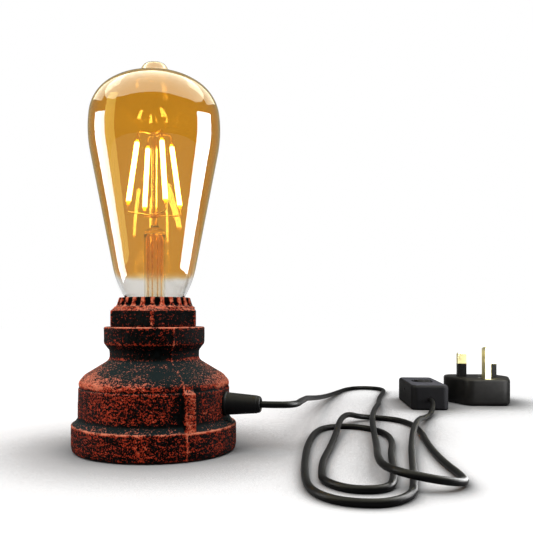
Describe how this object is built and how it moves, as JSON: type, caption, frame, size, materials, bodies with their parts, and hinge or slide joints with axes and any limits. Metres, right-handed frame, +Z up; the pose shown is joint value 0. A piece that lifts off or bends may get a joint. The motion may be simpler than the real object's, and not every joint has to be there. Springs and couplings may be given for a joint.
{
  "type": "industrial pipe table lamp",
  "caption": "Small table lamp: cast pipe reducer base, hex collar and fluted ring, bare tapered filament bulb, black flex with in-line rocker switch and three-pin plug.",
  "frame": {"origin": "centre of the base's underside, on the table", "axes": "+Z up the lamp, -Y towards the front, +X the side where the flex leaves the base"},
  "size_m": [0.3031, 0.3572, 0.1875],
  "materials": {
    "antique_casting": "black paint rubbed with brick red, satin",
    "zinc_steel": "zinc plated",
    "foot_pad": "matt",
    "glazed_ceramic": "glazed",
    "brass": "plain",
    "brown_core": "matt",
    "blue_core": "matt",
    "amber_glass": "clear amber, fading to colourless at the neck",
    "nickel_cap": "bright",
    "vitrite": "opaque black",
    "solder": "dull",
    "circuit_board": "satin",
    "clear_glass": "clear",
    "filament": "phosphor coating, lit",
    "lead_wire": "plain",
    "black_nylon": "matt",
    "black_flex": "satin",
    "slate_plastic": "satin",
    "black_plastic": "satin",
    "clamp_fibre": "matt",
    "fuse_ceramic": "matt, with metal caps"
  },
  "bodies": {
    "lamp": {"base_casting": "antique_casting", "hex_collar": "antique_casting", "fluted_crown": "antique_casting", "base_plate": "zinc_steel", "base_plate_screws": "zinc_steel", "cord_grip_locknut": "zinc_steel", "base_pad": "foot_pad", "lampholder_body": "glazed_ceramic", "lampholder_screw_shell": "brass", "lampholder_centre_contact": "brass", "lampholder_terminals": "brass", "lampholder_terminal_screws": "zinc_steel", "live_wire": "brown_core", "neutral_wire": "blue_core", "cord_grip": "black_nylon", "cord_tail": "black_flex", "cord_lamp_to_switch": "black_flex", "cord_switch_to_plug": "black_flex", "switch_lower_shell": "slate_plastic", "switch_upper_shell": "slate_plastic", "switch_pivot_pin": "zinc_steel", "switch_contacts": "brass", "switch_terminal_screws": "zinc_steel", "switch_shell_screws": "zinc_steel", "switch_cord_tails": "black_flex", "switch_live_cores": "brown_core", "switch_neutral_core": "blue_core", "plug_cover": "black_plastic", "plug_base": "black_plastic", "plug_cover_screw": "zinc_steel", "plug_clamp_screws": "zinc_steel", "plug_cord_clamp": "clamp_fibre", "earth_pin": "brass", "live_pin": "brass", "neutral_pin": "brass", "pin_sleeves": "black_plastic", "plug_fuse": "fuse_ceramic", "plug_fuse_clips": "brass", "plug_wires": "brown_core", "plug_cord_tail": "black_flex"},
    "bulb_lift": {"bulb_tip_contact": "solder", "bulb_cap_insulator": "vitrite"},
    "bulb": {"bulb_glass": "amber_glass", "bulb_cap_shell": "nickel_cap", "bulb_driver_board": "circuit_board", "bulb_stem": "clear_glass", "bulb_centre_rod": "clear_glass", "filaments": "filament", "filament_top_supports": "lead_wire", "filament_bottom_supports": "lead_wire", "bulb_lead_wires": "lead_wire"},
    "rocker": {"switch_rocker": "slate_plastic"}
  },
  "joints": [
    {"name": "bulb_thread_lift", "type": "slide", "parent": "lamp", "child": "bulb_lift", "axis": [0, 0, 1], "range_m": [0, 0.0218]},
    {"name": "bulb_unscrew", "type": "hinge", "parent": "bulb_lift", "child": "bulb", "pos_m": [0, 0, 0.06], "axis": [0, 0, 1], "range_deg": [0, 2160]},
    {"name": "rocker_tilt", "type": "hinge", "parent": "lamp", "child": "rocker", "pos_m": [0.192, 0.139, 0.011], "axis": [0.9778, -0.2095, 0], "range_deg": [0, 16]}
  ],
  "couplings": [
    {"joint": "bulb_thread_lift", "follows": "bulb_unscrew", "m_per_rad": 0.00057757}
  ]
}
